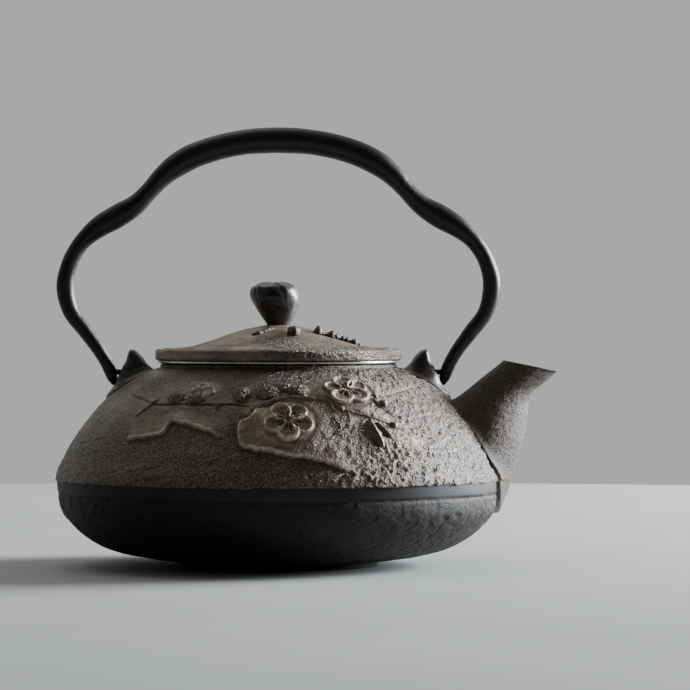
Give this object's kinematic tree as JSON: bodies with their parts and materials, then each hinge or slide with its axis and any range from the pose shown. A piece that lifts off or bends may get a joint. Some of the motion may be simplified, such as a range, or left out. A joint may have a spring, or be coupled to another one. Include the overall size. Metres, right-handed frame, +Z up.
{
  "type": "teapot with infuser",
  "caption": "Squat cast-iron side-spout teapot with a lift-out steel tea infuser, a domed lid with a bud knob and a swinging arched handle.",
  "frame": {"origin": "the middle of the flat foot, on the surface that the pot stands on", "axes": "+Z up, +X out of the spout, so the handle swings about a line along X"},
  "size_m": [0.1602, 0.1424, 0.14],
  "materials": {
    "cast_iron_brown": "matte",
    "enamel": "gloss",
    "black_iron": "satin",
    "dark_bronze": "gloss",
    "steel": "satin"
  },
  "bodies": {
    "pot": {"pot_body": "cast_iron_brown", "enamel_lining": "enamel"},
    "handle": {"handle": "black_iron"},
    "infuser": {"infuser_rim": "steel", "infuser_wall": "steel", "infuser_floor": "steel", "infuser_base_ring": "steel"},
    "lid": {"lid": "cast_iron_brown", "lid_knob": "dark_bronze", "knob_washer": "steel", "knob_stud": "steel"}
  },
  "joints": [
    {"name": "handle_swing", "type": "hinge", "parent": "pot", "child": "handle", "pos_m": [0, 0, 0.0618], "axis": [1, 0, 0], "range_deg": [-103, 103]},
    {"name": "infuser_lift", "type": "slide", "parent": "pot", "child": "infuser", "axis": [0, 0, 1], "range_m": [0, 0.034]},
    {"name": "lid_lift", "type": "slide", "parent": "infuser", "child": "lid", "axis": [0, 0, 1], "range_m": [0, 0.03]}
  ]
}
